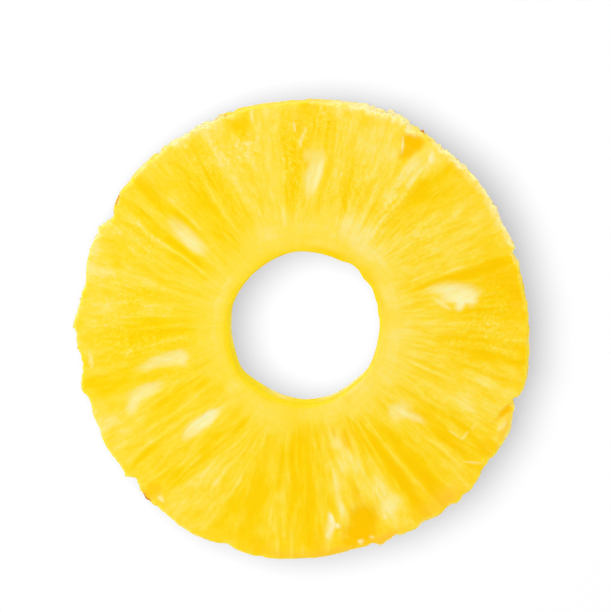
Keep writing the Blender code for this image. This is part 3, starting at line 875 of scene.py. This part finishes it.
finish = {
    # linear colours, from the deepest yellow to the palest
    "warm": (
        (0.00, (0.975, 0.598, 0.0004)), (0.25, (0.975, 0.632, 0.0030)), (0.50, (0.975, 0.676, 0.0250)),
        (0.75, (0.975, 0.730, 0.0880)), (1.00, (0.955, 0.780, 0.2300)),
    ),
    "lemon": (
        (0.00, (0.975, 0.638, 0.0004)), (0.25, (0.975, 0.673, 0.0035)), (0.50, (0.975, 0.698, 0.0200)),
        (0.75, (0.975, 0.733, 0.0640)), (1.00, (0.975, 0.788, 0.2300)),
    ),
    "white": (0.950, 0.865, 0.440),
    "amber": (0.975, 0.552, 0.0002),
    "deepLemon": (0.975, 0.600, 0.0002),
    "blush": (0.975, 0.570, 0.030),
    # the painted cream highlight on the rim's wet wall and lip, and the shreds' paler tone
    "cream": (0.960, 0.820, 0.360),
    "wallYellow": (0.960, 0.675, 0.045),
    "wallWarm": (0.970, 0.620, 0.040),
    "holeYellow": (0.990, 0.642, 0.012),
    "eye": (0.550, 0.200, 0.030),
    "scrap": (0.820, 0.310, 0.050),
    # noises: scale, detail, roughness, distortion; the first three on strands in mm, the rest in metres
    "thin": (0.95, 2, 0.5, 0.5),
    "hair": (2.4, 2, 0.5, 0.4),
    "sacs": (1.7, 2, 0.6, 0.9),
    "mottle": (300, 3, 0.55, 0.4),
    "crumbs": (900, 4, 0.65, 0.0),
    "spots": (700, 3, 0.5, 0.0),
    # how far fibres and sacs are drawn out along the strands: the smaller, the longer
    "fibreScale": 0.2,
    "sacScale": 0.75,
    # how pale the flesh is before the tint, and what the tint and each noise's swing do to that
    "paleness": 0.56,
    "tintShare": 0.45,
    "thinSwing": 0.67,
    "hairSwing": 0.36,
    "mottleSwing": 0.45,
    "sacGain": 1.9,
    "sacBase": 0.25,
    "coreCalm": 0.75,
    # how far the walls' own yellows cover the flesh's, and how patchy the painted cream highlight is
    "rimShare": 0.6,
    "holeShare": 0.93,
    "creamBase": 0.9,
    "creamSwing": 4.5,
    "roughSwing": 0.1,
    # gloss by the shader's own inputs: on everything, the ring, its cut faces, its walls and the shreds
    "all": {"Subsurface Radius": (1.0, 0.55, 0.12)},
    "ring": {"Subsurface Scale": 0.0025, "IOR": 1.34},
    "face": {"Roughness": 0.22, "Specular IOR Level": 0.5, "Subsurface Weight": 0.3},
    "wall": {"Roughness": 0.55, "Specular IOR Level": 0.0, "Subsurface Weight": 0.6},
    "shred": {
        "Roughness": 0.45, "Specular IOR Level": 0.15, "Subsurface Weight": 0.5, "Subsurface Scale": 0.001,
    },
    "bump": {"Strength": 0.3, "Distance": 0.0002},
    "faceCrumbs": 0.2,
}


def addNode(tree, kind, **settings):
    # a new node of that kind, with its settings
    made = tree.nodes.new(kind)
    for name, value in settings.items():
        setattr(made, name, value)
    return made


def setInputs(node, *groups):
    # each input by its name, from one dictionary after another
    for group in groups:
        for name, value in group.items():
            node.inputs[name].default_value = value


def feed(tree, socket, value):
    # a number or a colour is set on the socket, and anything else is linked to it
    if isinstance(value, tuple):
        socket.default_value = (*value, 1)
    elif isinstance(value, (int, float)):
        socket.default_value = value
    else:
        tree.links.new(value, socket)


def readMap(tree, name, output="Fac"):
    # what the mesh keeps under that name
    return addNode(tree, "ShaderNodeAttribute", attribute_name=name).outputs[output]


def mathNode(tree, operation, first, second, clamp=False):
    # first and second, joined by the operation
    made = addNode(tree, "ShaderNodeMath", operation=operation, use_clamp=clamp)
    feed(tree, made.inputs[0], first)
    feed(tree, made.inputs[1], second)
    return made.outputs[0]


def add(tree, first, second, clamp=False):
    # first + second
    return mathNode(tree, "ADD", first, second, clamp)


def times(tree, first, second, clamp=False):
    # first * second
    return mathNode(tree, "MULTIPLY", first, second, clamp)


def swing(tree, value, amount):
    # noise turned into a swing about 0: (value - 0.5) * amount
    return times(tree, mathNode(tree, "SUBTRACT", value, 0.5), amount)


def mixColour(tree, factor, first, second):
    # first * (1 - factor) + second * factor
    made = addNode(tree, "ShaderNodeMix", data_type="RGBA")
    for place, value in ((0, factor), (6, first), (7, second)):
        feed(tree, made.inputs[place], value)
    return made.outputs[2]


def ramp(tree, factor, stops):
    # the colour between the two stops that factor lies between
    made = addNode(tree, "ShaderNodeValToRGB")
    elements = made.color_ramp.elements
    while len(elements) < len(stops):
        elements.new(0.5)
    for element, (place, colour) in zip(elements, stops):
        element.position = place
        element.color = (*colour, 1)
    tree.links.new(factor, made.inputs[0])
    return made.outputs[0]


def noise(tree, vector, settings):
    # smooth noise from 0 to 1, with `detail` finer layers, each `roughness` times as strong as the last
    made = addNode(tree, "ShaderNodeTexNoise")
    setInputs(made, dict(zip(("Scale", "Detail", "Roughness", "Distortion"), settings)))
    tree.links.new(vector, made.inputs["Vector"])
    return made.outputs["Fac"]


def drawnOut(tree, strands, scale):
    # the strands' coordinates with the one along the fibres times scale
    made = addNode(tree, "ShaderNodeMapping")
    setInputs(made, {"Scale": (1, 1, scale)})
    tree.links.new(strands, made.inputs["Vector"])
    return made.outputs[0]


def newMaterial(name, *groups):
    # a material whose even values are set on its shader
    material = bpy.data.materials.new(name)
    material.use_nodes = True
    shader = material.node_tree.nodes["Principled BSDF"]
    setInputs(shader, *groups)
    return material, material.node_tree, shader


def fleshMaterial(name, gloss):
    # yellows picked by paleness, which is a base - tint + noises; then blush, amber, white, the walls'
    # yellows, the painted cream highlight and the brown of the eyes, each laid over the last by its own map
    f = finish
    material, tree, shader = newMaterial(name, f["all"], f["ring"], gloss)
    names = ("tint", "white", "amber", "core", "rim", "cream", "eye", "lemon", "holeWall", "fleckAndGlint", "blush")
    maps = {name: readMap(tree, name) for name in names}
    place = addNode(tree, "ShaderNodeTexCoord").outputs["Object"]
    strands = readMap(tree, "strands", "Vector")

    # fine fibres and wet sacs: noise on a cylinder of strands, drawn out along them
    stretch = drawnOut(tree, strands, f["fibreScale"])
    thin = noise(tree, stretch, f["thin"])
    hair = noise(tree, stretch, f["hair"])
    sacs = noise(tree, drawnOut(tree, strands, f["sacScale"]), f["sacs"])
    mottle = noise(tree, place, f["mottle"])
    crumbs = noise(tree, place, f["crumbs"])

    # from deepest at 0 to palest at 1; the core has less of the fibres
    fibres = add(tree, swing(tree, thin, f["thinSwing"]), swing(tree, hair, f["hairSwing"]))
    # the sacs swing wider where the flecks are, and their lighter side there is painted glints
    sacDepth = add(tree, times(tree, maps["fleckAndGlint"], f["sacGain"]), f["sacBase"])
    fibres = add(tree, fibres, times(tree, swing(tree, sacs, 1.0), sacDepth))
    calm = mathNode(tree, "SUBTRACT", 1.0, times(tree, maps["core"], f["coreCalm"]))
    fibres = times(tree, fibres, calm)
    paleness = mathNode(tree, "SUBTRACT", f["paleness"], times(tree, maps["tint"], f["tintShare"]))
    paleness = add(tree, paleness, add(tree, fibres, swing(tree, mottle, f["mottleSwing"])))
    colour = mixColour(tree, maps["lemon"], ramp(tree, paleness, f["warm"]), ramp(tree, paleness, f["lemon"]))

    pit = mixColour(tree, maps["lemon"], f["amber"], f["deepLemon"])
    flank = mixColour(tree, maps["lemon"], f["wallWarm"], f["wallYellow"])
    patchy = add(tree, f["creamBase"], swing(tree, crumbs, f["creamSwing"]))
    coats = (
        (maps["blush"], f["blush"]),
        (maps["amber"], pit),
        (times(tree, maps["white"], add(tree, 1.0, swing(tree, hair, 1.0)), clamp=True), f["white"]),
        (times(tree, maps["rim"], f["rimShare"]), flank),
        (times(tree, maps["holeWall"], f["holeShare"]), f["holeYellow"]),
        (times(tree, maps["cream"], patchy, clamp=True), f["cream"]),
        (maps["eye"], f["eye"]),
    )
    for share, coat in coats:
        colour = mixColour(tree, share, colour, coat)
    tree.links.new(colour, shader.inputs["Base Color"])

    rough = add(tree, swing(tree, mottle, f["roughSwing"]), gloss["Roughness"])
    tree.links.new(rough, shader.inputs["Roughness"])

    # relief = fibres + crumbs, which are stronger on the rim
    bump = addNode(tree, "ShaderNodeBump")
    setInputs(bump, f["bump"])
    relief = add(tree, thin, times(tree, crumbs, add(tree, maps["rim"], f["faceCrumbs"])))
    tree.links.new(relief, bump.inputs["Height"])
    tree.links.new(bump.outputs[0], shader.inputs["Normal"])
    return material


def shredMaterial():
    # from yellow to cream by tone + spots, the tone carrying the rim's painted cream highlight, then to the
    # scraps' brown
    material, tree, shader = newMaterial("frayedFlesh", finish["all"], finish["shred"])
    place = addNode(tree, "ShaderNodeTexCoord").outputs["Object"]
    spots = swing(tree, noise(tree, place, finish["spots"]), 1.0)
    tone = add(tree, readMap(tree, "tone"), spots, clamp=True)
    colour = mixColour(tree, tone, finish["wallYellow"], finish["cream"])
    colour = mixColour(tree, readMap(tree, "brown"), colour, finish["scrap"])
    tree.links.new(colour, shader.inputs["Base Color"])
    return material


stage = {
    # in metres, watts and degrees
    "floorSize": 3.0,
    "floorDrop": 0.02 * mm,  # below the slice, so that the two don't coincide
    "floor": {"Base Color": (0.96, 0.96, 0.96, 1), "Roughness": 1.0, "Specular IOR Level": 0.0},
    # the tent's light falls from To Min to To Max between the two steepnesses; then how much brighter it is
    # on one side, which side, and the light from below
    "tentFade": {"From Min": 0.30, "From Max": 0.97, "To Min": 1.25, "To Max": 0.0},
    "tentLean": 0.22,
    "tentLeanAzimuth": 65,
    "tentFloor": 1.0,
    "keyPower": 9.25,
    "keySize": 1.08,
    "keyDistance": 1.2,
    "keyAzimuth": 168,
    "keyElevation": 76,
}

camera = {
    "lens": 400,  # mm; the other lengths are in metres
    "distance": 1.377,
    "farthest": 10,
    "tilt": 6,
    "tiltAzimuth": 65,
    "aim": (0.94 * mm, 4.7 * mm, 6 * mm),
}


def makeFloor():
    # one square, matt and pale, just under the slice
    half = stage["floorSize"] / 2
    corners = [(-half, -half, 0), (half, -half, 0), (half, half, 0), (-half, half, 0)]
    floor = meshObject("floor", corners, [(0, 1, 2, 3)])
    floor.location.z = -stage["floorDrop"]
    floor.data.materials.append(newMaterial("paleFloor", stage["floor"])[0])
    floor.visible_glossy = False  # the steep walls would mirror it as a grey line


def makeSky():
    # a white tent, open straight overhead, where the wet top would mirror it: the light fades between two
    # steepnesses of the ray, up or down, leans towards one side, and the camera itself sees plain white
    world = bpy.data.worlds.new("softTent")
    bpy.context.scene.world = world
    world.use_nodes = True
    world.cycles.sampling_method = "NONE"
    tree = world.node_tree
    background = tree.nodes["Background"]
    path = addNode(tree, "ShaderNodeLightPath")
    ray = addNode(tree, "ShaderNodeTexCoord").outputs["Generated"]
    split = addNode(tree, "ShaderNodeSeparateXYZ")
    tree.links.new(ray, split.inputs[0])
    fade = addNode(tree, "ShaderNodeMapRange", interpolation_type="SMOOTHSTEP")
    tree.links.new(mathNode(tree, "ABSOLUTE", split.outputs["Z"], 0), fade.inputs["Value"])
    setInputs(fade, stage["tentFade"])
    lean = addNode(tree, "ShaderNodeVectorMath", operation="DOT_PRODUCT")
    tree.links.new(ray, lean.inputs[0])
    lean.inputs[1].default_value = direction(stage["tentLeanAzimuth"], 0) * stage["tentLean"]
    side = times(tree, fade.outputs[0], add(tree, lean.outputs["Value"], 1.0))
    below = times(tree, mathNode(tree, "LESS_THAN", split.outputs["Z"], 0.0), stage["tentFloor"])
    level = mathNode(tree, "MAXIMUM", mathNode(tree, "MAXIMUM", side, below), path.outputs["Is Camera Ray"])
    tree.links.new(level, background.inputs["Strength"])
    setInputs(background, {"Color": (1, 1, 1, 1)})


def direction(azimuth, elevation):
    # the unit vector (cos e * cos a, cos e * sin a, sin e)
    a, e = math.radians(azimuth), math.radians(elevation)
    return Vector((math.cos(e) * math.cos(a), math.cos(e) * math.sin(a), math.sin(e)))


def makeKeyLight():
    # a soft disk, at keyDistance in its direction and facing back along it
    light = bpy.data.lights.new("window", "AREA")
    light.shape = "DISK"
    light.size = stage["keySize"]
    light.energy = stage["keyPower"]
    lamp = putInScene("window", light)
    towards = direction(stage["keyAzimuth"], stage["keyElevation"])
    lamp.location = towards * stage["keyDistance"]
    lamp.rotation_euler = towards.to_track_quat("Z", "Y").to_euler()
    lamp.visible_glossy = False  # it would veil the wet top in white


def makeCamera():
    # at aim + distance * back, looking almost straight down, with +Y up in the picture
    data = bpy.data.cameras.new("camera")
    data.lens = camera["lens"]
    data.clip_end = camera["farthest"]
    eye = putInScene("camera", data)
    back = direction(camera["tiltAzimuth"], 90 - camera["tilt"])
    right = Vector((0, 1, 0)).cross(back).normalized()
    above = back.cross(right)
    turn = Matrix((right, above, back)).transposed().to_4x4()
    eye.matrix_world = Matrix.Translation(Vector(camera["aim"]) + back * camera["distance"]) @ turn
    bpy.context.scene.camera = eye
    bpy.context.scene.view_settings.view_transform = "Standard"


makeCamera()
makeFloor()
makeSky()
makeKeyLight()
print("stage ready")

ring, ringShift = makeRing()
ring.data.materials.append(fleshMaterial("moistFace", finish["face"]))
ring.data.materials.append(fleshMaterial("moistWall", finish["wall"]))
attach(ring, "root")
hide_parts("pineapple_ring")
tatters = makeShreds(ringShift)
tatters.data.materials.append(shredMaterial())
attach(tatters, "root")
for piece in (ring, tatters):
    piece.visible_diffuse = False  # the floor round it stays neutral, with only the window's shadow on it
print("flesh finished")
